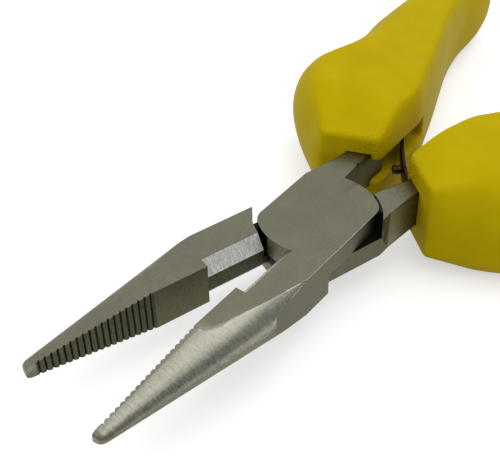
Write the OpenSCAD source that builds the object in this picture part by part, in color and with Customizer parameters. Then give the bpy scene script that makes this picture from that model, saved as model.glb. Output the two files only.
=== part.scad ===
// Long-nose pliers: two forged halves in a lap joint, a flush rivet, two moulded
// grips and a leaf spring that opens them.
// X is across the jaws, -Y runs to the jaw tips, +Z is up. The pivot axis is Z,
// and z = 0 is the ground underside of the joint.

/* [Joint] */
// Angle between the two halves as drawn, from fully closed
drawn_opening = 17; // [0:1:30]
// Radius of the round lap plates
plate_r = 11.5; // [10.5:0.1:13]
// Width across the ground sides of the joint
joint_w = 17.4; // [15:0.1:18.5]
// Radius of the lap plates' corners at the ground sides
plate_corner_r = 3.4; // [2:0.1:7]
// Thickness of the joint, both plates together
joint_t = 8.8; // [8:0.1:10.5]
// Gap between the two lap plates
lap_gap = 0.06; // [0.02:0.01:0.2]
// Gap between a lap plate and the shoulder of the facing jaw
jaw_shoulder_gap = 0.9; // [0.4:0.05:1.2]
// Gap between a lap plate and the shoulder of the facing shank
shank_shoulder_gap = 0.5; // [0.3:0.05:1.2]

/* [Pivot rivet] */
// Diameter of the rivet's shaft
rivet_d = 6.5; // [5:0.1:7.5]
// Diameter of the countersunk rivet heads
rivet_head_d = 9; // [8:0.1:10]
// Depth of a rivet head
rivet_head_t = 1.6; // [1:0.1:2.4]
// Radial running clearance of the rivet in the lower half
rivet_clearance = 0.05; // [0.02:0.01:0.1]

/* [Jaws] */
// Pivot axis to the tips
jaw_reach = 60.2; // [54:0.1:75]
// Pivot axis to the first tooth
teeth_start = 35.5; // [31:0.5:40]
// Pivot axis to the end of the wire cutter
cutter_end = 24.5; // [20:0.5:28]
// Width of one jaw at its tip
tip_w = 2.1; // [1.6:0.05:3.4]
// Height of a jaw at its tip
tip_h = 2.45; // [1.8:0.05:4]
// Radius at the end of the tip
tip_round = 1.1; // [0.8:0.1:2]
// Widening of a jaw per millimetre back from its tip
side_flare = 0.205; // [0.18:0.005:0.24]
// Gap left between the closed jaws
closed_gap = 0.1; // [0.04:0.01:0.3]
// Distance between two teeth
tooth_pitch = 1.2; // [0.9:0.05:1.8]
// Depth of the grooves between the teeth
tooth_depth = 0.4; // [0.2:0.05:0.6]
// Height of the cutter's land
cutter_land = 3.4; // [1:0.1:4.5]
// Width of the cutter's bevel, seen from above
cutter_bevel = 2.2; // [1.2:0.1:3]

/* [Shanks] */
// Half of the gap between the closed shanks
shank_inner = 1.9; // [1.6:0.1:2.4]
// Pivot axis to the end of the ground flats
flat_end = 10.8; // [10:0.1:12]
// Outer edge of a shank at the end of the ground flats
shank_outer = 7.9; // [6.8:0.1:8.4]
// Length of the slope from the ground sides in to that edge
shank_slope = 2.6; // [1:0.1:4]
// Pivot axis to the tang, where the forged neck ends
neck_end = 21.4; // [20:0.1:23]
// Width of the neck where it meets the tang
neck_w = 4.4; // [4:0.1:5.2]
// Thickness of the neck where it meets the tang
neck_t = 8.1; // [6.8:0.1:8.6]
// Corner radius of the neck where it meets the tang
neck_round = 0.8; // [0.4:0.1:2.2]
// Thickness of the tangs inside the grips
tang_t = 6.2; // [4:0.1:6.6]
// Width of the tangs along the grips
tang_w = 4.8; // [3.5:0.1:6]
// Wall of grip between a tang and the inner side of the grip
tang_wall = 5.2; // [4.6:0.1:6.5]
// Pivot axis to the end of the tangs
tang_end = 86; // [70:1:92]

/* [Grips] */
// Thickness across the flat sides of the grips
grip_t = 22.8; // [18:0.2:25]
// Half of the gap between the closed grips
grip_gap = 0.2; // [0.15:0.05:1.2]
// Pivot axis to the front of the grips
grip_front = 17; // [16:0.1:18]
// Length of the grips
grip_len = 84; // [78:1:100]
// How far the hand guard stands out from the pivot line
guard_reach = 30; // [28:0.2:33]
// How far the hand rest behind the guard stands out
rest_reach = 27; // [25:0.2:29]
// Clearance between a grip and the steel in it
sleeve_clearance = 0.05; // [0.02:0.01:0.15]
// Height of the channel for the spring on the inner sides
channel_h = 5.2; // [4.6:0.1:8]
// Depth of that channel, from the pivot line
channel_depth = 4.1; // [3.6:0.1:4.6]
// Pivot axis to the end of that channel
channel_end = 40.5; // [39:0.5:50]

/* [Return spring] */
// Thickness of the spring leaf
leaf_t = 0.7; // [0.4:0.05:0.8]
// Width of the spring leaf
leaf_w = 4; // [3:0.1:4.4]
// Pivot axis to the front of the leaf's riveted pad
pad_start = 17.6; // [16.5:0.1:18.5]
// Length of the leaf's riveted pad
pad_len = 4.8; // [4.2:0.1:5.4]
// Pivot axis to the free end of the leaf
leaf_reach = 37; // [34:0.5:40]
// Gap between the leaf's free end and the channel it bears on
leaf_gap = 0.25; // [0.1:0.05:0.5]
// Diameter of the rivet that holds the leaf
pad_rivet_d = 1.8; // [1.2:0.1:2.2]
// Diameter of that rivet's head
pad_head_d = 3.2; // [2.4:0.1:3.6]
// Height of that rivet's head
pad_head_t = 0.8; // [0.4:0.05:0.9]
// Depth of that rivet in the lower half
pad_rivet_depth = 3; // [2:0.1:3.6]
// Diameter of the stud on the leaf
stud_d = 1.9; // [1.4:0.1:2.2]
// Length of the stud in front of the leaf
stud_len = 2.3; // [1.6:0.1:2.8]
// Diameter of the stud's tail through the leaf
stud_tail_d = 1.1; // [0.8:0.1:1.3]
// Place of the stud along the free leaf, as a share of its length
stud_place = 0.34; // [0.3:0.01:0.4]

/* [Hidden] */
$fn = 96;

half_w = joint_w / 2;
half_t = joint_t / 2;
plate_t = (joint_t - lap_gap) / 2;
// Middle of a lap plate's corner, and where its edge takes over from the corner
corner_x = half_w - plate_corner_r;
corner_y = sqrt(pow(plate_r - plate_corner_r, 2) - pow(corner_x, 2));
edge_x = plate_r * corner_x / (plate_r - plate_corner_r);
shaft_r = rivet_d / 2;
head_r = rivet_head_d / 2;
mating_x = closed_gap / 2;
jaw_shoulder_r = plate_r + jaw_shoulder_gap;
shank_shoulder_r = plate_r + shank_shoulder_gap;
// Run of the toothed part, over which a jaw thins from the joint's thickness to its tip
teeth_run = jaw_reach - teeth_start;
// Share of the tip's size that is left at its very end
tip_blunt = 0.6;
// Facets on either side of a tooth's rounded crest, and how far round it they turn
ridge_n = 3;
ridge_turn = 70;
// Facets of a jaw's round side, and the least share of them that its top edge takes
arc_n = 9;
least_edge = 0.1;
// Powers of the curves round a jaw; 2 is an ellipse and more is squarer
round_power = 2;
square_power = 3.9;
// The plain block of a jaw reaches this far past the end of its square part
block_end = 15;
// Reach of cuts past the surfaces that they open
past = 1;
thin = 0.01;
round_fn = 32;
steel = "silver";
yellow = [0.86, 0.76, 0.13];
dark_steel = [0.27, 0.24, 0.2];

// ---- lofts ----

function distinct(p, f) = p[f[0]] != p[f[1]] && p[f[1]] != p[f[2]] && p[f[2]] != p[f[0]];

// A closed skin over rings of equally many points
module loft(rings) {
    m = len(rings[0]);
    points = [for (ring = rings) each ring];
    last = len(points) - m;
    skin = [for (i = [0:len(rings) - 2]) for (j = [0:m - 1])
        let (a = i * m + j, b = i * m + (j + 1) % m) each [[a, b, b + m], [a, b + m, a + m]]];
    front = [for (j = [1:m - 2]) [0, j + 1, j]];
    back = [for (j = [1:m - 2]) [last, last + j, last + j + 1]];
    polyhedron(points, [for (f = concat(skin, front, back)) if (distinct(points, f)) f]);
}

// ---- forged halves, drawn closed: jaw at +X, shank at -X, lap plate above z = 0 ----

function tip_share(d) = d >= tip_round ? 1
    : tip_blunt + (1 - tip_blunt) * sqrt(1 - pow(1 - d / tip_round, 2));
function cone_w(d) = (tip_w + side_flare * d) * tip_share(d);
function cone_h(d) = (tip_h / 2 + (half_t - tip_h / 2) * d / teeth_run) * tip_share(d);
function arc_to(d, power) = asin(pow(min(1, half_w / cone_w(d)), power / 2));
function arc_from(d, power) = max(acos(pow(min(1, half_t / cone_h(d)), power / 2)),
                                  least_edge * arc_to(d, power));

// One side of a jaw's cross-section at d back from its tip: a curve cut off at the joint's size
function jaw_side(d, power) = let (
    from = arc_from(d, power),
    to = arc_to(d, power)
) concat([[mating_x, min(half_t, cone_h(d))]],
         [for (i = [0:arc_n]) let (t = from + (to - from) * i / arc_n)
             [min(half_w, cone_w(d) * bow(sin(t), power)),
              min(half_t, cone_h(d) * bow(cos(t), power))]]);

// Cross-section of a jaw; its far side may be squarer than its near side
function jaw_ring(d, far_power) = let (
    near = jaw_side(d, round_power),
    far = jaw_side(d, far_power)
) concat([for (p = far) [p[0], d - jaw_reach, -p[1]]],
         [for (i = [len(near) - 1:-1:0]) [near[i][0], d - jaw_reach, near[i][1]]]);

// Places of a jaw's cross-sections, in millimetres back from its tip
function jaw_places() = concat(
    [0, 0.15, 0.4, 0.8, 1] * tip_round,
    [for (i = [1:5]) tip_round + (teeth_run - tip_round) * i / 5],
    [for (i = [1:8]) teeth_run + (jaw_reach - block_end - teeth_run) * i / 8]);

module jaw_cutter_bevel() {
    rotate([90, 0, 0])
        linear_extrude(cutter_end)
            polygon([[-past, cutter_land / 2], [mating_x, cutter_land / 2],
                     [cutter_bevel, half_t], [cutter_bevel, half_t + past],
                     [-past, half_t + past]]);
}

// Side of a tooth, from its crest down to the bottom of the groove: depth and distance
ridge_side = [for (i = [0:ridge_n]) let (t = ridge_turn * i / ridge_n)
    [tooth_depth * (1 - cos(t)) / (1 - cos(ridge_turn)),
     tooth_pitch / 2 * sin(t) / sin(ridge_turn)]];

module jaw_grooves() {
    count = floor((teeth_run - tip_round) / tooth_pitch);
    fore = [for (p = ridge_side) [p[0], -p[1]]];
    aft = [for (i = [ridge_n - 1:-1:0]) [ridge_side[i][0], ridge_side[i][1] - tooth_pitch]];
    for (i = [0:count - 1])
        translate([mating_x, -teeth_start - i * tooth_pitch, 0])
            linear_extrude(joint_t + 2 * past, center = true)
                polygon(concat([[-past, 0]], fore, aft, [[-past, -tooth_pitch]]));
}

module jaw(far_power) {
    difference() {
        union() {
            loft([for (d = jaw_places()) jaw_ring(d, far_power)]);
            translate([mating_x, -block_end - past, -half_t])
                cube([half_w - mating_x, block_end + past, joint_t]);
        }
        jaw_cutter_bevel();
        mirror([0, 0, 1]) jaw_cutter_bevel();
        jaw_grooves();
        translate([0, 0, -joint_t]) cylinder(r = jaw_shoulder_r, h = joint_t + lap_gap / 2);
    }
    // The part of the jaw over the facing plate's shoulder
    intersection() {
        translate([mating_x, -block_end, lap_gap / 2])
            cube([half_w - mating_x, block_end, plate_t]);
        cylinder(r = plate_r, h = half_t);
    }
}

module plate_plan() {
    intersection() {
        circle(r = plate_r);
        square([2 * edge_x, 2 * plate_r], center = true);
    }
    square([joint_w, 2 * corner_y], center = true);
    for (x = [-1, 1]) for (y = [-1, 1])
        translate([x * corner_x, y * corner_y]) circle(r = plate_corner_r);
}

module plate() {
    translate([0, 0, lap_gap / 2]) linear_extrude(plate_t) plate_plan();
}

// Forged neck between the ground shank and the tang, grown by the clearance c
module neck(c) {
    neck_x = -shank_inner - neck_w / 2;
    hull() {
        translate([-shank_outer - c, flat_end - thin, -half_t - c])
            cube([shank_outer - shank_inner + 2 * c, thin, joint_t + 2 * c]);
        for (x = [-1, 1]) for (z = [-1, 1])
            translate([neck_x + x * (neck_w / 2 - neck_round), neck_end,
                       z * (neck_t / 2 - neck_round)])
                rotate([90, 0, 0]) cylinder(r = neck_round + c, h = thin, $fn = round_fn);
    }
}

module shank() {
    difference() {
        union() {
            linear_extrude(joint_t, center = true)
                polygon([[-shank_inner, 0], [-shank_inner, flat_end], [-shank_outer, flat_end],
                         [-half_w, flat_end - shank_slope], [-half_w, 0]]);
            neck(0);
        }
        translate([0, 0, -joint_t]) cylinder(r = shank_shoulder_r, h = joint_t + lap_gap / 2);
    }
}

// Plan of the tang, grown by the clearance c
module tang_plan(c) {
    along = [for (s = grip_rows) if (s[0] > neck_end + 8 && s[0] < tang_end) s];
    inner = [for (s = along) [-s[2] - tang_wall + c, s[0]]];
    outer = [for (i = [len(along) - 1:-1:0]) [-along[i][2] - tang_wall - tang_w - c, along[i][0]]];
    tail = grip_inner(tang_end) + tang_wall;
    polygon(concat([[-shank_inner + c, neck_end - 0.5], [-shank_inner + c, neck_end + 4]], inner,
                   [[-tail + c, tang_end + c], [-tail - tang_w - c, tang_end + c]], outer,
                   [[-shank_inner - neck_w - c, neck_end + 4],
                    [-shank_inner - neck_w - c, neck_end - 0.5]]));
}

module tang(c) {
    linear_extrude(tang_t + 2 * c, center = true) tang_plan(c);
}

// One forged half; c is the clearance round the rivet
module half(c, far_power) {
    difference() {
        union() {
            plate();
            jaw(far_power);
            shank();
            tang(0);
        }
        translate([0, 0, -joint_t]) cylinder(r = shaft_r + c, h = 2 * joint_t);
        translate([0, 0, half_t - rivet_head_t])
            cylinder(r1 = shaft_r + c, r2 = head_r + c, h = rivet_head_t);
    }
}

// ---- grips, drawn closed, on the -X side ----

// Rows of a grip: place along the handle, slant towards the inner side, inner side, outer side,
// then for the face and for the back: edge of the flat, half thickness, reach of the inner rounding
grip_rows = [
    [grip_front, 0.4, grip_gap + 0.6, 11.8,
     [11, 0.316 * grip_t, 0.9], [11, 0.36 * grip_t, 0.8]],
    [grip_front + 0.35, 0.4, grip_gap + 0.25, 12.4,
     [11.3, 0.344 * grip_t, 1], [11.3, 0.386 * grip_t, 0.8]],
    [grip_front + 1.3, 0.4, grip_gap + 0.05, 14.2,
     [12, 0.36 * grip_t, 1.2], [11.6, 0.401 * grip_t, 0.9]],
    [grip_front + 3.4, 0.38, grip_gap, 17,
     [13.6, 0.395 * grip_t, 1.6], [12.4, 0.43 * grip_t, 1]],
    [grip_front + 8, 0.26, grip_gap + 0.1, 23.2,
     [17.2, 0.465 * grip_t, 2.2], [14.8, 0.48 * grip_t, 1.1]],
    [grip_front + 14, 0.1, grip_gap + 0.2, guard_reach - 1.6,
     [20.8, 0.509 * grip_t, 2.6], [18, 0.509 * grip_t, 1.2]],
    [grip_front + 20, 0, grip_gap + 0.3, guard_reach,
     [21.6, 0.515 * grip_t, 2.8], [19.4, 0.515 * grip_t, 1.4]],
    [grip_front + 24, 0, grip_gap + 1.4, guard_reach - 1.2,
     [21, 0.51 * grip_t, 3], [19.2, 0.51 * grip_t, 1.8]],
    [grip_front + 29, 0, grip_gap + 3, guard_reach - 2.8,
     [19.8, 0.5 * grip_t, 3], [18.6, 0.5 * grip_t, 2.4]],
    [grip_front + 35, 0, grip_gap + 4.9, rest_reach,
     [19, 0.485 * grip_t, 3], [18.4, 0.485 * grip_t, 3]],
    [grip_front + 44, 0, grip_gap + 8.2, rest_reach + 1.5,
     [19.6, 0.465 * grip_t, 3], [19.6, 0.465 * grip_t, 3]],
    [grip_front + 54, 0, grip_gap + 11.8, rest_reach + 1.4,
     [20.6, 0.45 * grip_t, 3], [20.6, 0.45 * grip_t, 3]],
    [grip_front + 64, 0, grip_gap + 14.1, rest_reach + 0.6,
     [21, 0.435 * grip_t, 3], [21, 0.435 * grip_t, 3]],
    [grip_front + 74, 0, grip_gap + 14.8, rest_reach - 1.3,
     [20.6, 0.42 * grip_t, 3], [20.6, 0.42 * grip_t, 3]],
    [grip_front + grip_len - 3.6, 0, grip_gap + 15.8, rest_reach - 2.8,
     [20.4, 0.39 * grip_t, 3], [20.4, 0.39 * grip_t, 3]],
    [grip_front + grip_len - 1.1, 0, grip_gap + 16.6, rest_reach - 4,
     [20.4, 0.32 * grip_t, 3], [20.4, 0.32 * grip_t, 3]],
    [grip_front + grip_len, 0, grip_gap + 18, rest_reach - 5.4,
     [20.4, 0.2 * grip_t, 3], [20.4, 0.2 * grip_t, 3]]
];
slant_x = 11.6;
outer_n = 12;
inner_n = 8;
// Powers of the outer and inner curves of a row; 2 is an ellipse
outer_power = 1.85;
inner_power = 3;
// Largest share of the flat side's width that the inner curve takes
inner_share = 0.8;

function grip_inner(y) = lookup(y, [for (s = grip_rows) [s[0], s[2]]]);
function bow(v, power) = sign(v) * pow(abs(v), 2 / power);

function inner_curl(s, side) = min(side[2], inner_share * (side[0] - s[2]));
function grip_ring(s) = let (
    face = s[4],
    back = s[5],
    outer = [for (i = [0:outer_n]) let (t = 90 - 180 * i / outer_n, side = t >= 0 ? face : back)
        [side[0] + (s[3] - side[0]) * bow(cos(t), outer_power), side[1] * bow(sin(t), outer_power)]],
    inner = [for (i = [0:inner_n]) let (t = -90 - 180 * i / inner_n, side = t > -180 ? back : face)
        [s[2] + inner_curl(s, side) * (1 + bow(cos(t), inner_power)),
         side[1] * bow(sin(t), inner_power)]]
) [for (p = concat(outer, inner)) [-p[0], s[0] + s[1] * max(0, slant_x - p[0]), p[1]]];

module grip() {
    difference() {
        intersection() {
            loft([for (s = grip_rows) grip_ring(s)]);
            translate([-2 * guard_reach, 0, -grip_t / 2])
                cube([2 * guard_reach + past, 2 * grip_len, grip_t]);
        }
        neck(sleeve_clearance);
        tang(sleeve_clearance);
        translate([-channel_depth, 0, -channel_h / 2])
            cube([channel_depth + past, channel_end, channel_h]);
    }
}

// ---- return spring, drawn from the half on the -X side ----

function turn(p, a) = [p[0] * cos(a) - p[1] * sin(a), p[0] * sin(a) + p[1] * cos(a)];
function curve_at(p, u) = pow(1 - u, 3) * p[0] + 3 * pow(1 - u, 2) * u * p[1]
    + 3 * (1 - u) * pow(u, 2) * p[2] + pow(u, 3) * p[3];
function unit(v) = v / norm(v);
function left_of(v) = [-v[1], v[0]];

// The leaf's pad lies on its own half, stands out from it at pad_end,
// and bears with its free end on the channel of the facing grip
swing = drawn_opening / 2;
pad_x = -shank_inner + leaf_t / 2;
pad_end = pad_start + pad_len;
pad_middle = pad_start + pad_len / 2;
tip_x = channel_depth - leaf_gap - leaf_t / 2;
foot_pull = 0.09 * leaf_reach;
tip_pull = 0.03 * leaf_reach;
leaf_steps = 20;
leaf_curve = [turn([pad_x, pad_end], swing), turn([pad_x + foot_pull, pad_end], swing),
              turn([tip_x, leaf_reach - tip_pull], -swing), turn([tip_x, leaf_reach], -swing)];
leaf_line = concat([turn([pad_x, pad_start], swing)],
                   [for (i = [0:leaf_steps]) curve_at(leaf_curve, i / leaf_steps)]);

function line_dir(line, i) = unit(line[min(i + 1, len(line) - 1)] - line[max(i - 1, 0)]);

module leaf_plan() {
    sides = [for (i = [0:len(leaf_line) - 1]) left_of(line_dir(leaf_line, i)) * leaf_t / 2];
    left = [for (i = [0:len(leaf_line) - 1]) leaf_line[i] + sides[i]];
    right = [for (i = [len(leaf_line) - 1:-1:0]) leaf_line[i] - sides[i]];
    polygon(concat(left, right));
}

// Children stand on the leaf at the stud's place, facing the jaws
module on_leaf() {
    foot = curve_at(leaf_curve, stud_place);
    ahead = unit(curve_at(leaf_curve, stud_place + thin) - foot);
    translate([foot[0], foot[1], 0])
        rotate([0, 0, atan2(ahead[1], ahead[0])])
            rotate([90, 0, 0]) children();
}

module leaf() {
    difference() {
        linear_extrude(leaf_w, center = true) leaf_plan();
        rotate([0, 0, swing]) pad_rivet_hole();
        on_leaf() cylinder(d = stud_tail_d, h = 2 * past, center = true);
    }
}

module pad_rivet_hole() {
    translate([-shank_inner - pad_rivet_depth, pad_middle, 0])
        rotate([0, 90, 0]) cylinder(d = pad_rivet_d, h = pad_rivet_depth + 2 * past);
}

module pad_rivet() {
    translate([-shank_inner - pad_rivet_depth, pad_middle, 0])
        rotate([0, 90, 0]) {
            cylinder(d = pad_rivet_d, h = pad_rivet_depth + leaf_t + pad_head_t / 2);
            translate([0, 0, pad_rivet_depth + leaf_t]) cylinder(d = pad_head_d, h = pad_head_t);
        }
}

module stud() {
    on_leaf() {
        translate([0, 0, -leaf_t / 2]) cylinder(d = stud_tail_d, h = leaf_t + stud_len / 2);
        translate([0, 0, leaf_t / 2]) cylinder(d = stud_d, h = stud_len);
    }
}

// ---- places ----

module at_middle() { translate([0, 0, half_t]) children(); }
module on_upper() { at_middle() rotate([0, 0, swing]) children(); }
module flipped() { at_middle() rotate([0, 180, 0]) children(); }
module on_lower() { flipped() rotate([0, 0, swing]) children(); }

module upper_half() { color(steel) on_upper() half(0, round_power); }
module upper_grip() { color(yellow) on_upper() grip(); }
module lower_grip() { color(yellow) on_lower() grip(); }
module spring_leaf() { color(dark_steel) flipped() leaf(); }
module spring_rivet() { color(dark_steel) on_lower() pad_rivet(); }
module spring_stud() { color(dark_steel) flipped() stud(); }

module lower_half() {
    color(steel) on_lower() difference() {
        half(rivet_clearance, square_power);
        pad_rivet_hole();
    }
}

module pivot_rivet() {
    color(steel) {
        cylinder(r = shaft_r, h = joint_t);
        cylinder(r1 = head_r, r2 = shaft_r, h = rivet_head_t);
        translate([0, 0, joint_t - rivet_head_t])
            cylinder(r1 = shaft_r, r2 = head_r, h = rivet_head_t);
    }
}

upper_half();
lower_half();
pivot_rivet();
upper_grip();
lower_grip();
spring_leaf();
spring_rivet();
spring_stud();
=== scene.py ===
from math import cos, pi, radians, sin

import bmesh
import bpy
from mathutils import Matrix, Vector


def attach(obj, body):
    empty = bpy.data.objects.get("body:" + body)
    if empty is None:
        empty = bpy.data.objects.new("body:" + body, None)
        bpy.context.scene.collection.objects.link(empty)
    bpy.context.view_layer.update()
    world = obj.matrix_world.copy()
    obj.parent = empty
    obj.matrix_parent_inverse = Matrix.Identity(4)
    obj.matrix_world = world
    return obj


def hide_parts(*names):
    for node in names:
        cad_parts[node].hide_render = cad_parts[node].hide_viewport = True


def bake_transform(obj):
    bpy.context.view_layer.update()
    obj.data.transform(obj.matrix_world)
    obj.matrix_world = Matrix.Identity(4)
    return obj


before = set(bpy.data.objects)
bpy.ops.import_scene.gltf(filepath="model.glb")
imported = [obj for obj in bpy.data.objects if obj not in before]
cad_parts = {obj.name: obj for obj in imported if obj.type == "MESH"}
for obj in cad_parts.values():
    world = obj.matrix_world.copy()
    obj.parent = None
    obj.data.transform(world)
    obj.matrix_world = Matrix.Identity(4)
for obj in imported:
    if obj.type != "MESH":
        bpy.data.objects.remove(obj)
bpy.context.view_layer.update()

MM = 0.001
# Each half is turned this far from closed
SWING = radians(8.5)
# Half the thickness of the joint and of a grip, in millimetres
JOINT_HALF_T = 4.4
GRIP_HALF_T = 11.4
# Height of the joint's middle, with its lower face at 0
MIDDLE = JOINT_HALF_T * MM

# The halves' own frames, about the middle of the joint: closed, along Y with the tip at -Y,
# the jaw on the +X side of the middle plane and the shank on the -X side
UPPER = Matrix.Translation((0, 0, MIDDLE)) @ Matrix.Rotation(SWING, 4, "Z")
LOWER = (Matrix.Translation((0, 0, MIDDLE)) @ Matrix.Rotation(pi, 4, "Y")
         @ Matrix.Rotation(SWING, 4, "Z"))

# Where a half's regions meet along its length, in millimetres
NECK_START = 10.6
CUTTER_START = -10
TAPER_START = -12
CONE_START = -24
CUTTER_END = -24.5
TEETH_START = -35.5
TIP_START = -50
TEETH_END = -58.35
# The flat faces lie further than this from the half's middle
FACE_HEIGHT = 4.2
# The lap's faces lie within LAP_R, its round walls between WALL_INNER and WALL_OUTER, and the
# edges of the rivet's holes within RIVET_SEAT_R
LAP_R = 13
WALL_INNER = 11
WALL_OUTER = 12.8
RIVET_SEAT_R = 5.2


# ---- materials ----

# Most of a noise lies between these
NOISE_LOW = 0.3
NOISE_HIGH = 0.7


def shade(colour, share):
    return tuple(min(1, c * share) for c in colour)


def shades(colour, span):
    return shade(colour, span[0]), shade(colour, span[1])


class Finish:
    """One material in the making, with the noises and masks that it is built from."""

    def __init__(self, name):
        self.material = bpy.data.materials.new(name)
        self.material.use_nodes = True
        self.tree = self.material.node_tree
        self.surface = self.tree.nodes["Principled BSDF"]
        self.place = self.add("ShaderNodeTexCoord").outputs["Object"]

    def add(self, kind, **settings):
        node = self.tree.nodes.new(kind)
        for key, value in settings.items():
            setattr(node, key, value)
        return node

    def feed(self, socket, value):
        if isinstance(value, bpy.types.NodeSocket):
            self.tree.links.new(value, socket)
        else:
            socket.default_value = value

    def stretched(self, pitch, turn=0.0):
        """Object coordinates turned about Z, then counted in pitches along each axis."""
        turned = self.add("ShaderNodeMapping", vector_type="POINT")
        turned.inputs["Rotation"].default_value = (0, 0, -turn)
        self.feed(turned.inputs["Vector"], self.place)
        scaled = self.add("ShaderNodeMapping", vector_type="POINT")
        scaled.inputs["Scale"].default_value = tuple(1 / (p * MM) for p in pitch)
        self.feed(scaled.inputs["Vector"], turned.outputs["Vector"])
        return scaled.outputs["Vector"]

    def noise(self, pitch, detail=2.0, rough=0.5, turn=0.0):
        """A noise whose pitch, in millimetres, is one number or one for each axis."""
        node = self.add("ShaderNodeTexNoise")
        node.inputs["Scale"].default_value = 1.0
        node.inputs["Detail"].default_value = detail
        node.inputs["Roughness"].default_value = rough
        pitches = pitch if isinstance(pitch, tuple) else (pitch, pitch, pitch)
        self.feed(node.inputs["Vector"], self.stretched(pitches, turn))
        return node.outputs["Fac"]

    def spread(self, value, low, high, to_low=0.0, to_high=1.0):
        """value rescaled so that low to high becomes to_low to to_high, and clamped."""
        node = self.add("ShaderNodeMapRange")
        self.feed(node.inputs["Value"], value)
        node.inputs["From Min"].default_value = low
        node.inputs["From Max"].default_value = high
        node.inputs["To Min"].default_value = to_low
        node.inputs["To Max"].default_value = to_high
        return node.outputs["Result"]

    def swing(self, noise, amount):
        """A noise turned into a change of up to amount either way."""
        return self.spread(noise, NOISE_LOW, NOISE_HIGH, -amount, amount)

    def math(self, operation, a, b):
        node = self.add("ShaderNodeMath", operation=operation)
        self.feed(node.inputs[0], a)
        self.feed(node.inputs[1], b)
        return node.outputs["Value"]

    def total(self, *values):
        result = values[0]
        for value in values[1:]:
            result = self.math("ADD", result, value)
        return result

    def tint(self, share, a, b):
        """Colour a where share is 0 and b where it is 1."""
        node = self.add("ShaderNodeMix", data_type="RGBA")
        self.feed(node.inputs["Factor"], share)
        self.feed(node.inputs["A"], a if isinstance(a, bpy.types.NodeSocket) else (*a, 1))
        self.feed(node.inputs["B"], b if isinstance(b, bpy.types.NodeSocket) else (*b, 1))
        return node.outputs["Result"]

    def relief(self, height, depth, strength=1.0, over=None):
        """Bumps as deep as depth, in millimetres, on top of the relief given as over."""
        node = self.add("ShaderNodeBump")
        node.inputs["Strength"].default_value = strength
        node.inputs["Distance"].default_value = depth * MM
        self.feed(node.inputs["Height"], height)
        if over is not None:
            self.feed(node.inputs["Normal"], over)
        return node.outputs["Normal"]

    def axis(self, name, turn=0.0):
        """One object coordinate, in millimetres, in a frame turned about Z."""
        node = self.add("ShaderNodeSeparateXYZ")
        self.feed(node.inputs["Vector"], self.stretched((1, 1, 1), turn))
        return node.outputs[name]

    def distance(self, point):
        node = self.add("ShaderNodeVectorMath", operation="DISTANCE")
        self.feed(node.inputs[0], self.place)
        node.inputs[1].default_value = point
        return node.outputs["Value"]

    def set(self, **sockets):
        for name, value in sockets.items():
            socket = self.surface.inputs[name.replace("_", " ")]
            if isinstance(value, tuple) and len(value) == 3:
                value = (*value, 1)
            self.feed(socket, value)
        return self.material


# Steel: pitches in millimetres of its fine and coarse grain, its soft patches and its pits
FINE_PITCH = 0.17
COARSE_PITCH = 0.5
PATCH_PITCH = 7
PIT_PITCH = 0.4
# How much of the grain the coarse one gives, and how strong the patches are
COARSE_SHARE = 0.4
PATCH_STRENGTH = 0.06
# A change in tone of this much either way spans a colour's shades
TONE_SPAN = 0.6
# The same for the roughness, and how far it swings
GLOSS_SPAN = 0.4
GLOSS_SWING = 0.08
# Shades as shares of a tone: the steel's darkest and lightest, a band's of stain or painted light,
# a pit's and a mark's
STEEL_SHADES = (0.5, 1.6)
BAND_SHADES = (0.6, 1.4)
PIT_SHADE = 0.2
MARK_SHADE = 0.05
# The pit noise's peaks are pits, full from the second of these on
PIT_START = 0.635
PIT_FULL = 0.70
# A punched mark fades from its middle's radius to its rim's, and is this deep; its dent is painted
# dark as shade
MARK_MIDDLE = 0.25 * MM
MARK_RIM = 0.5 * MM
MARK_DEPTH = 0.25


def steel(name, tone, rough, grain, streak, pitch, depth, turn, pits=0.5, stains=(), mark=None):
    """Ground or blasted steel: a tone with fine grain, streaks, soft patches and pits.

    pitch is that of the streaks and depth that of the relief, in millimetres. Each band, a real
    stain or painted light, is (axis, from, to, raggedness, colour, roughness): along an axis of
    the half, the steel turns to that colour and gets so much rougher. mark is the place of a
    punched mark, whose dent is painted dark as its shade.
    """
    f = Finish(name)
    fine = f.noise(FINE_PITCH, detail=4, rough=0.7)
    coarse = f.noise(COARSE_PITCH, detail=3, rough=0.6)
    lines = f.noise(pitch, detail=4, rough=0.65, turn=turn)
    patch = f.noise(PATCH_PITCH, detail=3, rough=0.6)
    mottle = f.total(f.swing(fine, grain), f.swing(lines, streak),
                     f.swing(coarse, COARSE_SHARE * grain), f.swing(patch, PATCH_STRENGTH))
    lightness = f.spread(mottle, -TONE_SPAN, TONE_SPAN)
    colour = f.tint(lightness, *shades(tone, STEEL_SHADES))
    pitted = f.spread(f.noise(PIT_PITCH, detail=2), PIT_START, PIT_FULL, 0, pits)
    colour = f.tint(pitted, colour, shade(tone, PIT_SHADE))
    roughness = f.spread(mottle, -GLOSS_SPAN, GLOSS_SPAN, rough - GLOSS_SWING, rough + GLOSS_SWING)
    for axis, start, end, ragged, band_colour, dull in stains:
        along = f.total(f.axis(axis, turn), f.swing(coarse, ragged))
        share = f.spread(along, start, end)
        colour = f.tint(share, colour, f.tint(lightness, *shades(band_colour, BAND_SHADES)))
        roughness = f.total(roughness, f.math("MULTIPLY", share, dull))
    height = f.total(f.math("MULTIPLY", fine, grain), f.math("MULTIPLY", lines, streak))
    skin = f.relief(height, depth)
    if mark:
        # The punched mark's dent is painted dark, as its shade
        sunk = f.spread(f.distance(mark), MARK_MIDDLE, MARK_RIM)
        colour = f.tint(sunk, shade(tone, MARK_SHADE), colour)
        skin = f.relief(sunk, MARK_DEPTH, over=skin)
    return f.set(Base_Color=colour, Metallic=1.0, Roughness=roughness, Normal=skin)


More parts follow.
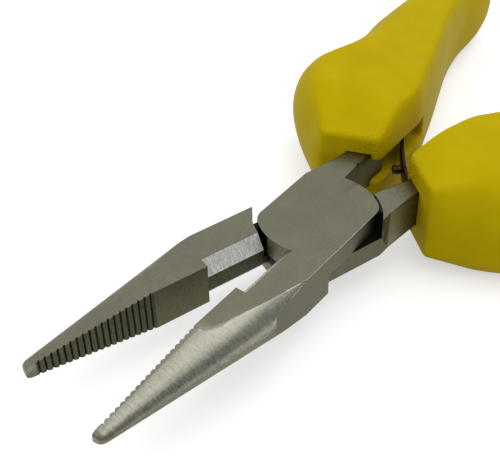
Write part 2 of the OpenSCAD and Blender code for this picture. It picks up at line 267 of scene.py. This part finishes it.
def plastic(name, mouth, grime):
    """Moulded yellow plastic, with grime where the steel comes out at mouth."""
    deep_yellow = (0.452, 0.338, 0.001)
    pale_yellow = (0.515, 0.388, 0.002)
    rubbed_yellow = (0.32, 0.235, 0.001)
    grime_colour = (0.035, 0.028, 0.006)
    grime_full, grime_end = 1.5 * MM, 6.5 * MM
    f = Finish(name)
    grain = f.noise(0.25, detail=3, rough=0.6)
    speck = f.noise(0.4, detail=3, rough=0.65)
    patch = f.noise(8, detail=3, rough=0.55)
    colour = f.tint(f.spread(patch, 0.25, 0.75), deep_yellow, pale_yellow)
    colour = f.tint(f.spread(grain, 0.6, 0.8, 0, 0.3), colour, rubbed_yellow)
    near = f.spread(f.distance(mouth), grime_full, grime_end, 1, 0)
    dirt = f.math("MULTIPLY", near, f.spread(speck, 0.52, 0.62, 0, grime))
    colour = f.tint(dirt, colour, grime_colour)
    return f.set(Base_Color=colour, Metallic=0.0, Specular_IOR_Level=0.015,
                 Roughness=f.spread(grain, NOISE_LOW, NOISE_HIGH, 0.40, 0.52),
                 Normal=f.relief(grain, 0.03, 0.7))


def blued():
    """Oiled spring steel, nearly black with brown patches."""
    f = Finish("blued_spring")
    fine = f.noise((0.12, 0.12, 0.5), detail=3)
    patch = f.noise(1.6, detail=3)
    colour = f.tint(f.spread(patch, 0.35, 0.65), (0.024, 0.018, 0.008), (0.085, 0.052, 0.018))
    return f.set(Base_Color=colour, Metallic=1.0,
                 Roughness=f.spread(fine, NOISE_LOW, NOISE_HIGH, 0.34, 0.52),
                 Normal=f.relief(fine, 0.02, 0.7))


def forging_finishes(half, own, turn, face_up):
    """The finishes of one half, by the names of its regions.

    turn is how far its length is turned about Z, and face_up is 1 where its face is on top
    and -1 where it is below. Streak pitches, and the places of stains and of painted light, are in
    millimetres.
    """
    on_top = face_up > 0
    middle = MIDDLE / MM
    lengthwise = (0.16, 1.6, 0.16)
    crosswise = (1.4, 0.17, 1.4)
    side_steel = (0.100, 0.096, 0.058)
    baked = (0.10, 0.075, 0.012)
    baked_from = 15.6 if on_top else 14.4
    finishes = {}

    def finish(region, tone, **settings):
        finishes[region] = steel(half + "_" + region, tone, turn=turn, **settings)

    # The cone is painted brighter towards its wide end as a painted highlight, turns to the side's
    # steel at the joint, and is painted darker below as shade. In the lower half its top is painted
    # a little duller too, as shade.
    cone_stains = [("Y", -38, -30, 2, (0.300, 0.296, 0.240), 0.0),
                   ("Y", -19, -13, 1, side_steel, 0.05),
                   ("Z", middle + 1.4, middle - 0.3, 0.5, (0.138, 0.135, 0.084), 0.1)]
    rim_stains = []
    if not on_top:
        cone_stains.append(("Z", middle + 0.2, middle + 1.6, 0.2, (0.215, 0.211, 0.152), 0.1))
        # Painted shade: the lower half's rim turns near black towards the middle plane, in the gap
        # between the plates
        rim_stains.append(("Z", middle - 2.4, middle - 1.5, 0.5, (0.010, 0.010, 0.008), 0))

    finish("ground", (0.186, 0.183, 0.132), rough=0.36, grain=0.14, streak=0.12,
           pitch=lengthwise, depth=0.02, pits=0.12)
    finish("side", side_steel, rough=0.40, grain=0.22, streak=0.16,
           pitch=(0.25, 0.25, 2.5), depth=0.03, pits=0.3)
    finish("cone", (0.240, 0.237, 0.197), rough=0.31, grain=0.14, streak=0.40,
           pitch=crosswise, depth=0.07, pits=0.12, stains=cone_stains)
    # Near white: the cutter's bright ground bevels, with a painted highlight on top
    finish("cutter", (0.90, 0.91, 0.82), rough=0.5, grain=0.2, streak=0.6,
           pitch=crosswise, depth=0.07)
    finish("mating", (0.113, 0.110, 0.060), rough=0.5, grain=0.34, streak=0.12,
           pitch=(0.3, 1.2, 0.3), depth=0.05, pits=0.85)
    # The teeth's and the land's dark steel, painted darker still away from the middle plane as
    # shade down the teeth's flanks
    finish("dark_and_shaded", (0.076, 0.074, 0.043), rough=0.5, grain=0.34, streak=0.5,
           pitch=(0.3, 0.22, 3), depth=0.06, pits=0.85,
           stains=[("X", 0.12 * face_up, 0.42 * face_up, 0.08, (0.021, 0.020, 0.011), 0.1)])
    # Near black: painted shade in the grooves between the teeth
    finish("groove", (0.028, 0.026, 0.014), rough=0.55, grain=0.3, streak=0.1,
           pitch=0.3, depth=0.04)
    finish("rim", (0.22, 0.205, 0.125), rough=0.5, grain=0.34, streak=0.2,
           pitch=(0.3, 0.3, 2), depth=0.05, pits=0.85, stains=rim_stains)
    # Near black: painted shade on the lap's faces and on walls across the joint's narrow gaps
    finish("painted_gap_shade", (0.012, 0.012, 0.009), rough=0.55, grain=0.3, streak=0.1,
           pitch=0.3, depth=0.03)
    finish("shank", (0.200, 0.197, 0.143), rough=0.36, grain=0.16, streak=0.12,
           pitch=lengthwise, depth=0.03, pits=0.2,
           stains=[("Y", baked_from, 20.2, 2.4, baked, 0.2)],
           mark=own @ (Vector((-2.2, 16.9, 4.3)) * MM))
    finish("neck", (0.212, 0.204, 0.118), rough=0.46, grain=0.46, streak=0.12,
           pitch=(0.3, 0.6, 0.3), depth=0.10, stains=[("Y", 13.2, 19.2, 2.4, baked, 0.1)])
    # Darker olive: painted shade on the neck's side that faces the other half
    finish("inner_neck", (0.092, 0.083, 0.024), rough=0.55, grain=0.5, streak=0.2,
           pitch=(0.3, 0.6, 0.3), depth=0.10)
    # Near white: a painted highlight on the broken edges round the joint
    finish("edge", (0.85, 0.84, 0.74), rough=0.3, grain=0.2, streak=0.1,
           pitch=0.3, depth=0.02)
    return finishes


# ---- pieces ----

def in_scene(name, data):
    thing = bpy.data.objects.new(name, data)
    bpy.context.scene.collection.objects.link(thing)
    return thing


def loose_object(name, bm):
    mesh = bpy.data.meshes.new(name)
    bm.to_mesh(mesh)
    bm.free()
    return in_scene(name, mesh)


def place_mesh(name, bm, body, finish):
    """A finished piece, smooth but for its sharp edges. One that bends has no body."""
    for face in bm.faces:
        face.smooth = True
    piece = loose_object(name, bm)
    for material in finish:
        piece.data.materials.append(material)
    if body:
        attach(piece, body)
    return piece


# ---- forgings ----

# A face is flat or upright by how much of its normal points along Z
FLAT = 0.9
UPRIGHT = 0.3
# The mating face and the teeth lie this near the half's middle plane, in millimetres
BLOCK_REACH = 0.62
# and the cutter's bevels this near it
CUTTER_REACH = 2.3


def steel_region(normal, centre):
    """Which finish a face of a half has, from its normal and middle in the half's own frame."""
    x, y, z = centre / MM
    out = Vector((x, y, 0))
    r = out.length
    facing = normal.dot(out) / r if r > 0.1 else 0
    flat = abs(normal.z) > FLAT
    upright = abs(normal.z) < UPRIGHT
    # The lap's hidden faces, painted near black as the shade between the halves, and the flat faces
    # above or below
    if flat and abs(z) < 0.2 and r < LAP_R:
        return "painted_gap_shade"
    if flat and abs(z) > FACE_HEIGHT and TEETH_END < y < NECK_START:
        return "ground"
    # The round walls: the plate's rim shows, but its part on the shank's side and the walls that
    # look at it across a narrow gap are painted near black as the gap's shade
    if upright and WALL_INNER < r < WALL_OUTER and abs(facing) > 0.9 and y < 0:
        return "painted_gap_shade" if facing < 0 or x < -3.6 else "rim"
    # Other walls by the joint are painted near black too, as shade
    if upright and r < WALL_OUTER and abs(facing) > 0.75 and x * y > 0:
        return "painted_gap_shade"
    # The neck, the middle plane behind the joint, and the tip
    if y > NECK_START:
        # The neck's side that faces the other half takes a darker finish, as painted shade
        if normal.x > 0.5:
            return "inner_neck"
        return "shank" if flat else "neck"
    if y > 0:
        return "mating" if normal.x > 0.5 and x > -3 else "side"
    if y < TEETH_END:
        return "cone"
    # The jaw's inner side: cutter, block and teeth
    if (x < CUTTER_REACH and CUTTER_END <= y < CUTTER_START
            and normal.x < -0.2 and abs(normal.z) > 0.3):
        return "cutter"
    if x < BLOCK_REACH and abs(normal.z) < 0.4:
        if y > CUTTER_END:
            return "dark_and_shaded"
        # The teeth: their deep facets take the near-black finish that paints the grooves' shade
        if y < TEETH_START:
            return "groove" if abs(normal.y) > 0.7 else "dark_and_shaded"
        return "mating"
    # The jaw's rounded side, with the hollow that leads to it from the joint
    if abs(normal.z) < 0.985 and y < CONE_START:
        return "cone"
    if abs(normal.z) < 0.98 and 0.1 < normal.x < 0.995 and y < TAPER_START:
        return "cone"
    if y < TIP_START:
        return "cone"
    return "side" if upright else "ground"


# An edge sharper than this is broken
SHARP_EDGE = radians(24)
# but the teeth's are left: they are drawn sharp above this and where a ridge ends
RIDGE_EDGE = radians(60)
# The shortest edge that is broken, and the widths of the breaks, in millimetres. An edge
# further than OUTSIDE from the half's middle plane is an outside one.
SHORTEST_EDGE = 0.4
OUTSIDE = 1.5
OUTSIDE_BREAK = 0.25
INSIDE_BREAK = 0.13
# Breaks along the cutter take the dark teeth finish this near the middle plane, and those round the
# joint take a near-white finish, a painted highlight
DARK_BREAK_REACH = 2.6
BRIGHT_START = -21
BRIGHT_END = 14
BRIGHT_REGIONS = ("ground", "side", "cone", "shank")


def edges_to_break(bm):
    """The outside and the inside sharp edges, leaving out those of the teeth and the rivet."""
    outside, inside = [], []
    for edge in bm.edges:
        if len(edge.link_faces) != 2 or edge.calc_face_angle(0) < SHARP_EDGE:
            continue
        x, y, _ = (edge.verts[0].co + edge.verts[1].co) / 2 / MM
        if Vector((x, y)).length < RIVET_SEAT_R:
            edge.smooth = False
        elif x < OUTSIDE and y < TEETH_START:
            near, far = edge.link_faces
            ridge_end = abs(near.normal.z - far.normal.z) > 0.4
            edge.smooth = edge.calc_face_angle(0) < RIDGE_EDGE and not ridge_end
        elif edge.calc_length() > SHORTEST_EDGE * MM:
            (outside if x > OUTSIDE else inside).append(edge)
    return outside, inside


def break_edges(bm, edges, width, order):
    """Round the edges off; along the cutter the new faces take the dark teeth finish, and round the
    joint a near-white one, a painted highlight.
    """
    bright = [order.index(key) for key in BRIGHT_REGIONS]
    edges = [edge for edge in edges if edge.is_valid]
    broken = bmesh.ops.bevel(bm, geom=edges, offset=width * MM, offset_type="OFFSET",
                             affect="EDGES", segments=3, profile=0.5, material=-1,
                             clamp_overlap=True, loop_slide=False)
    for face in broken["faces"]:
        x, y, _ = face.calc_center_median() / MM
        if x < DARK_BREAK_REACH and CUTTER_END < y < CUTTER_START:
            face.material_index = order.index("dark_and_shaded")
        elif face.material_index in bright and BRIGHT_START < y < BRIGHT_END:
            face.material_index = order.index("edge")


def forging(name, node, body, own, finishes):
    """A forged half: the frame's solid with its sharp edges broken and a finish for each region."""
    bm = bmesh.new()
    bm.from_mesh(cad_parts[node].data)
    bm.transform(own.inverted())
    bmesh.ops.remove_doubles(bm, verts=bm.verts, dist=0.002 * MM)
    bmesh.ops.dissolve_limit(bm, angle_limit=radians(0.6), verts=bm.verts, edges=bm.edges)
    everything = list(bm.verts) + list(bm.edges) + list(bm.faces)
    bmesh.ops.bisect_plane(bm, geom=everything, dist=0.001 * MM, plane_no=(0, 1, 0),
                           plane_co=(0, CUTTER_END * MM, 0))
    order = list(finishes)
    for face in bm.faces:
        face.material_index = order.index(steel_region(face.normal, face.calc_center_median()))
    # In two goes, because the shortest edge of a go limits the width of all its breaks
    outside, inside = edges_to_break(bm)
    break_edges(bm, outside, OUTSIDE_BREAK, order)
    break_edges(bm, inside, INSIDE_BREAK, order)
    bm.transform(own)
    piece = place_mesh(name, bm, body, [finishes[key] for key in order])
    flats = piece.modifiers.new("flats", "WEIGHTED_NORMAL")
    flats.mode = "FACE_AREA"
    flats.weight = 50
    flats.keep_sharp = True
    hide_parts(node)


# ---- the grips ----

# Stations of a grip, in millimetres in the half's own frame: place along the handle, slant
# towards the inner side, inner side, outer side, then for its face and for its back the edge
# of the flat, the half thickness and the reach of the inner rounding
STATIONS = [
    (17, 0.4, 0.8, 11.8, 11, 7.2, 0.9, 11, 8.21, 0.8),
    (17.35, 0.4, 0.45, 12.4, 11.3, 7.84, 1, 11.3, 8.8, 0.8),
    (18.3, 0.4, 0.25, 14.2, 12, 8.21, 1.2, 11.6, 9.14, 0.9),
    (20.4, 0.38, 0.2, 17, 13.6, 9.01, 1.6, 12.4, 9.8, 1),
    (25, 0.26, 0.3, 23.2, 17.2, 10.6, 2.2, 14.8, 10.94, 1.1),
    (31, 0.1, 0.4, 28.4, 20.8, 11.61, 2.6, 18, 11.61, 1.2),
    (37, 0, 0.5, 30, 21.6, 11.74, 2.8, 19.4, 11.74, 1.4),
    (41, 0, 1.6, 28.8, 21, 11.63, 3, 19.2, 11.63, 1.8),
    (46, 0, 3.2, 27.2, 19.8, 11.4, 3, 18.6, 11.4, 2.4),
    (52, 0, 5.1, 27, 19, 11.06, 3, 18.4, 11.06, 3),
    (61, 0, 8.4, 28.5, 19.6, 10.6, 3, 19.6, 10.6, 3),
    (71, 0, 12, 28.4, 20.6, 10.26, 3, 20.6, 10.26, 3),
    (81, 0, 14.3, 27.6, 21, 9.92, 3, 21, 9.92, 3),
    (91, 0, 15, 25.7, 20.6, 9.58, 3, 20.6, 9.58, 3),
    (97.4, 0, 16, 24.2, 20.4, 8.89, 3, 20.4, 8.89, 3),
    (99.9, 0, 16.8, 23, 20.4, 7.3, 3, 20.4, 7.3, 3),
    (101, 0, 18.2, 21.6, 20.4, 4.56, 3, 20.4, 4.56, 3),
]
# Rings from one station to the next, and points on a ring's outer and inner sides
RINGS = 5
OUTER_STEPS = 36
INNER_STEPS = 24
# The sides' roundings: 2 is an ellipse, less is leaner and more is squarer
OUTER_POWER = 1.85
INNER_POWER = 3
# The inner rounding takes no more than this share of the way to the edge of the flat
CURL_SHARE = 0.8
# The slant begins here and grows towards the inner side
SLANT_EDGE = 11.6
SKIN_VOXEL = 0.36
SKIN_PASSES = 4


def smooth_station(t):
    """Station values at t, counted in stations, on a smooth curve through them."""
    i = min(int(t), len(STATIONS) - 2)
    u = t - i
    a, b, c, d = (STATIONS[max(0, min(len(STATIONS) - 1, i + k))] for k in (-1, 0, 1, 2))
    values = []
    for k in range(len(b)):
        fore = (c[k] - a[k]) * (c[0] - b[0]) / (c[0] - a[0])
        aft = (d[k] - b[k]) * (c[0] - b[0]) / (d[0] - b[0])
        # A slope against the step would make the curve overshoot
        if (c[k] - b[k]) * fore <= 0:
            fore = 0
        if (c[k] - b[k]) * aft <= 0:
            aft = 0
        values.append((2 * u**3 - 3 * u**2 + 1) * b[k] + (u**3 - 2 * u**2 + u) * fore
                      + (3 * u**2 - 2 * u**3) * c[k] + (u**3 - u**2) * aft)
    return values


def bow(v, power):
    return (1 if v >= 0 else -1) * abs(v) ** (2 / power)


def grip_outline(station):
    """The points of one ring: down the outer side and back up the inner one."""
    y, slant, inner, outer, *sides = station
    face, back = sides[:3], sides[3:]
    outline = []
    for i in range(OUTER_STEPS):
        t = radians(90 - 180 * i / OUTER_STEPS)
        flat, half_t, _ = face if i <= OUTER_STEPS / 2 else back
        outline.append((flat + (outer - flat) * bow(cos(t), OUTER_POWER),
                        half_t * bow(sin(t), OUTER_POWER)))
    for i in range(INNER_STEPS):
        t = radians(-90 - 180 * i / INNER_STEPS)
        flat, half_t, curl = back if i <= INNER_STEPS / 2 else face
        curl = min(curl, CURL_SHARE * (flat - inner))
        outline.append((inner + curl * (1 + bow(cos(t), INNER_POWER)),
                        half_t * bow(sin(t), INNER_POWER)))
    return [Vector((-x, y + slant * max(0, SLANT_EDGE - x),
                    max(-GRIP_HALF_T, min(GRIP_HALF_T, z)))) * MM
            for x, z in outline]


def grip_shell():
    """The grip's outside: a ring drawn through the stations and closed at both ends."""
    bm = bmesh.new()
    count = OUTER_STEPS + INNER_STEPS
    ring = bmesh.ops.create_circle(bm, segments=count, radius=MM)["verts"]
    last = (len(STATIONS) - 1) * RINGS
    edges = list(bm.edges)
    for k in range(last + 1):
        for vert, place in zip(ring, grip_outline(smooth_station(k / RINGS))):
            vert.co = place
        if k < last:
            made = bmesh.ops.extrude_edge_only(bm, edges=edges)["geom"]
            new = {e for e in made if isinstance(e, bmesh.types.BMEdge)}
            swap = {}
            for vert in ring:
                for edge in vert.link_edges:
                    other = edge.other_vert(vert)
                    if other not in ring and edge not in new and other in made:
                        swap[vert] = other
            ring = [swap[v] for v in ring]
            kept = set(ring)
            edges = [e for e in new if e.verts[0] in kept and e.verts[1] in kept]
    bmesh.ops.holes_fill(bm, edges=[e for e in bm.edges if e.is_boundary])
    bmesh.ops.recalc_face_normals(bm, faces=bm.faces)
    return bm


def block(size, middle):
    bm = bmesh.new()
    bmesh.ops.create_cube(bm, size=1)
    bmesh.ops.scale(bm, verts=bm.verts, vec=Vector(size) * MM)
    bmesh.ops.translate(bm, verts=bm.verts, vec=Vector(middle) * MM)
    return bm


def channel_block():
    """Room for the spring on a grip's inner side."""
    return block((5.1, 40.5, 5.2), (-1.55, 20.25, 0))


def neck_block():
    """The forged neck with a hair of room round it, narrowing towards the tang."""
    width, length, thickness = 6.1, 10.8, 8.9
    tang_width, tang_thickness = 4.5, 8.2
    bm = block((width, length, thickness), (-4.9, 16.2, 0))
    deep = [v for v in bm.verts if v.co.y > 16 * MM]
    inner_edge = Matrix.Translation(Vector((1.85, 0, 0)) * MM)
    bmesh.ops.scale(bm, verts=deep, vec=(tang_width / width, 1, tang_thickness / thickness),
                    space=inner_edge)
    return bm


def apply_modifiers(piece):
    """Give the piece the mesh that its modifiers make of it."""
    graph = bpy.context.evaluated_depsgraph_get()
    made = bpy.data.meshes.new_from_object(piece.evaluated_get(graph))
    piece.modifiers.clear()
    piece.data = made


def carve(piece, bm):
    tool = loose_object("block", bm)
    cut = piece.modifiers.new("cut", "BOOLEAN")
    cut.operation = "DIFFERENCE"
    cut.object = tool
    cut.solver = "EXACT"
    apply_modifiers(piece)
    bpy.data.objects.remove(tool)


def grip(name, node, body, own, finish):
    """A moulded grip, soft everywhere but at its mouth, which is cut to the neck."""
    piece = loose_object(name, grip_shell())
    carve(piece, channel_block())
    remesh = piece.modifiers.new("skin", "REMESH")
    remesh.mode = "VOXEL"
    remesh.voxel_size = SKIN_VOXEL * MM
    apply_modifiers(piece)
    bm = bmesh.new()
    bm.from_mesh(piece.data)
    for _ in range(SKIN_PASSES):
        bmesh.ops.smooth_vert(bm, verts=bm.verts, factor=0.5, use_axis_x=True,
                              use_axis_y=True, use_axis_z=True)
    bm.to_mesh(piece.data)
    bm.clear()
    carve(piece, neck_block())
    bm.from_mesh(piece.data)
    bpy.data.objects.remove(piece)
    for edge in bm.edges:
        if edge.calc_face_angle(0) > radians(50):
            edge.smooth = False
    bm.transform(own)
    piece = place_mesh(name, bm, body, [finish])
    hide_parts(node)


# ---- return spring ----

LEAF_T = 0.7 * MM
LEAF_W = 4 * MM
# The flat foot's share of the leaf, and the stud's place along the rest of it
FOOT_SHARE = 0.15
STUD_PLACE = 0.34
# The leaf is drawn turned over, about the middle of the joint
FLIPPED = Matrix.Translation((0, 0, MIDDLE)) @ Matrix.Rotation(pi, 4, "Y")


def turned(x, y, angle):
    return Vector((x * cos(angle) - y * sin(angle), x * sin(angle) + y * cos(angle), 0)) * MM


# The leaf's flat foot starts at LEAF_FOOT, and the rest follows a curve with these four poles
LEAF_FOOT = turned(-1.55, 17.6, SWING)
LEAF_CURVE = [turned(-1.55, 22.4, SWING), turned(1.78, 22.4, SWING),
              turned(3.5, 35.89, -SWING), turned(3.5, 37, -SWING)]


def leaf_point(u):
    a, b, c, d = LEAF_CURVE
    return (1 - u)**3 * a + 3 * (1 - u)**2 * u * b + 3 * (1 - u) * u**2 * c + u**3 * d


def bending(piece, node):
    """A piece of the spring, with its place baked into its mesh and the frame's node hidden."""
    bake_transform(piece)
    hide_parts(node)


def spring_leaf(finish):
    bm = bmesh.new()
    bmesh.ops.create_grid(bm, x_segments=40, y_segments=4, size=0.5)
    for vert in bm.verts:
        share = vert.co.x + 0.5
        across = Vector((0, 0, vert.co.y * LEAF_W))
        if share < FOOT_SHARE:
            vert.co = LEAF_FOOT.lerp(LEAF_CURVE[0], share / FOOT_SHARE) + across
        else:
            vert.co = leaf_point((share - FOOT_SHARE) / (1 - FOOT_SHARE)) + across
    bmesh.ops.recalc_face_normals(bm, faces=bm.faces)
    bmesh.ops.solidify(bm, geom=bm.faces, thickness=LEAF_T)
    bmesh.ops.bevel(bm, geom=[e for e in bm.edges if e.calc_face_angle(0) > radians(60)],
                    offset=0.1 * MM, offset_type="OFFSET", affect="EDGES", segments=2,
                    profile=0.5, material=-1, clamp_overlap=True)
    bm.transform(FLIPPED)
    bending(place_mesh("spring_strip", bm, None, [finish]), "spring_leaf")


def lathe(outline, place):
    """A turned piece: outline is (radius, height) in millimetres about place's Z axis."""
    bm = bmesh.new()
    verts = [bm.verts.new((r * MM, 0, h * MM)) for r, h in outline]
    edges = [bm.edges.new(pair) for pair in zip(verts, verts[1:])]
    bmesh.ops.spin(bm, geom=verts + edges, cent=(0, 0, 0), axis=(0, 0, 1), dvec=(0, 0, 0),
                   angle=2 * pi, steps=40, use_merge=True)
    bmesh.ops.remove_doubles(bm, verts=bm.verts, dist=0.001 * MM)
    bmesh.ops.recalc_face_normals(bm, faces=bm.faces)
    for edge in bm.edges:
        if edge.calc_face_angle(0) > radians(35):
            edge.smooth = False
    bm.transform(place)
    return bm


def spring_stud(finish):
    """The stud: a shank through the leaf, a collar, a groove and a button."""
    outline = [(0, -0.35), (0.55, -0.35), (0.55, 0.35), (0.95, 0.35), (0.95, 0.6), (0.62, 0.7),
               (0.62, 0.95), (0.95, 1.05), (0.95, 2.35), (0.87, 2.55), (0.7, 2.65), (0, 2.65)]
    foot = leaf_point(STUD_PLACE)
    ahead = (leaf_point(STUD_PLACE + 0.01) - foot).normalized()
    out = Vector((ahead.y, -ahead.x, 0))
    across = Vector((0, 0, 1))
    place = Matrix((across.cross(out), across, out)).transposed().to_4x4()
    place.translation = foot
    bm = lathe(outline, FLIPPED @ place)
    bending(place_mesh("spring_button", bm, None, [finish]), "spring_stud")


def spring_rivet(finish):
    """The leaf's rivet: a shank in the lower half under a domed head."""
    outline = [(0, -2.9), (0.9, -2.9), (0.9, 0.7), (1.6, 0.7), (1.6, 0.9), (1.48, 1.16),
               (1.2, 1.36), (0.8, 1.46), (0.4, 1.5), (0, 1.5)]
    place = Matrix.Translation(Vector((-1.9, 20, 0)) * MM) @ Matrix.Rotation(pi / 2, 4, "Y")
    bm = lathe(outline, LOWER @ place)
    piece = place_mesh("domed_rivet", bm, "lower", [finish])
    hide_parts("spring_rivet")


# ---- stage ----

def camera():
    azimuth, elevation, roll = 0.82827389, 0.729518673, -0.0249954808
    aim = Vector((-8.4117, -9.5723, 4.4)) * MM
    distance = 192.123
    back = Vector((sin(azimuth) * cos(elevation), -cos(azimuth) * cos(elevation),
                   sin(elevation)))
    right = (-back).cross(Vector((0, 0, 1))).normalized()
    up = right.cross(-back)
    x = right * cos(roll) + up * sin(roll)
    y = -right * sin(roll) + up * cos(roll)
    place = Matrix((x, y, back)).transposed().to_4x4()
    place.translation = aim + back * distance * MM
    lens = bpy.data.cameras.new("camera")
    lens.lens = 73.618
    lens.clip_start = 0.01
    lens.clip_end = 20
    eye = in_scene("camera", lens)
    eye.matrix_world = place
    bpy.context.scene.camera = eye


def softbox(name, place, size, power):
    """A flat lamp at place, facing the middle of the scene."""
    lamp = bpy.data.lights.new(name, "AREA")
    lamp.shape = "RECTANGLE"
    lamp.size, lamp.size_y = size
    lamp.energy = power
    holder = in_scene(name, lamp)
    holder.location = place
    holder.rotation_euler = Vector(place).to_track_quat("Z", "Y").to_euler()


def studio():
    """A soft sky and a weak lamp.

    Away from its brightest place the sky gives less light and looks darker in gloss. The
    camera sees it plain white.
    """
    brightest = (-0.45, 0.1, 0.88)
    world = bpy.data.worlds.new("studio")
    bpy.context.scene.world = world
    world.use_nodes = True
    tree = world.node_tree
    back = tree.nodes["Background"]
    path = tree.nodes.new("ShaderNodeLightPath")
    sky = tree.nodes.new("ShaderNodeTexCoord")
    toward = tree.nodes.new("ShaderNodeVectorMath")
    toward.operation = "DOT_PRODUCT"
    toward.inputs[1].default_value = brightest
    tree.links.new(sky.outputs["Generated"], toward.inputs[0])

    def gradient(start, low, high, curve):
        """A strength that rises from low, where it starts, to high at the brightest place."""
        node = tree.nodes.new("ShaderNodeMapRange")
        node.interpolation_type = curve
        node.inputs["From Min"].default_value = start
        node.inputs["From Max"].default_value = 1.0
        node.inputs["To Min"].default_value = low
        node.inputs["To Max"].default_value = high
        tree.links.new(toward.outputs["Value"], node.inputs["Value"])
        return node.outputs["Result"]

    level = gradient(-1.0, 0.5, 0.9, "LINEAR")
    gloss = gradient(0.0, 0.42, 0.87, "SMOOTHSTEP")
    for kind, value in (("Is Glossy Ray", gloss), ("Is Transmission Ray", 1.0),
                        ("Is Camera Ray", 1.0)):
        pick = tree.nodes.new("ShaderNodeMix")
        tree.links.new(path.outputs[kind], pick.inputs["Factor"])
        for socket, end in ((pick.inputs["A"], level), (pick.inputs["B"], value)):
            if isinstance(end, bpy.types.NodeSocket):
                tree.links.new(end, socket)
            else:
                socket.default_value = end
        level = pick.outputs["Result"]
    back.inputs["Color"].default_value = (1, 1, 1, 1)
    tree.links.new(level, back.inputs["Strength"])
    softbox("overhead", place=(0.05, 0.12, 0.52), size=(0.5, 0.32), power=0.8)


def floor():
    """A pale floor just under the grips, which glows for the camera and in gloss only."""
    glow_strength = 0.5
    clearance = 0.02 * MM
    bm = bmesh.new()
    bmesh.ops.create_grid(bm, x_segments=1, y_segments=1, size=3)
    bmesh.ops.translate(bm, verts=bm.verts,
                        vec=(0, 0, MIDDLE - GRIP_HALF_T * MM - clearance))
    plane = loose_object("floor", bm)
    f = Finish("floor")
    glow = f.add("ShaderNodeEmission")
    glow.inputs["Strength"].default_value = glow_strength
    path = f.add("ShaderNodeLightPath")
    both = f.add("ShaderNodeAddShader")
    pick = f.add("ShaderNodeMixShader")
    f.feed(both.inputs[0], f.surface.outputs["BSDF"])
    f.feed(both.inputs[1], glow.outputs["Emission"])
    seen = path.outputs["Is Camera Ray"]
    for kind in ("Is Glossy Ray", "Is Transmission Ray"):
        seen = f.math("MAXIMUM", seen, path.outputs[kind])
    f.feed(pick.inputs["Fac"], seen)
    f.feed(pick.inputs[1], f.surface.outputs["BSDF"])
    f.feed(pick.inputs[2], both.outputs["Shader"])
    f.feed(f.tree.nodes["Material Output"].inputs["Surface"], pick.outputs["Shader"])
    plane.data.materials.append(f.set(Base_Color=(0.66, 0.66, 0.66), Roughness=0.9))


camera()
studio()
floor()

upper_finish = forging_finishes("upper", UPPER, SWING, 1)
lower_finish = forging_finishes("lower", LOWER, -SWING, -1)
spring_finish = blued()

forging("upper_forging", "upper_half", "upper", UPPER, upper_finish)
forging("lower_forging", "lower_half", "lower", LOWER, lower_finish)
for half, own, face_up, grime in (("upper", UPPER, 1, 0.5), ("lower", LOWER, -1, 1.0)):
    mouth = own @ (Vector((-1.4, 20.9, JOINT_HALF_T * face_up)) * MM)
    grip(half + "_moulding", half + "_grip", half, own, plastic(half + "_plastic", mouth, grime))

spring_leaf(spring_finish)
spring_stud(spring_finish)
spring_rivet(spring_finish)
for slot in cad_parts["pivot_rivet"].material_slots:
    slot.material = upper_finish["ground"]

bpy.context.scene.view_settings.view_transform = "Standard"
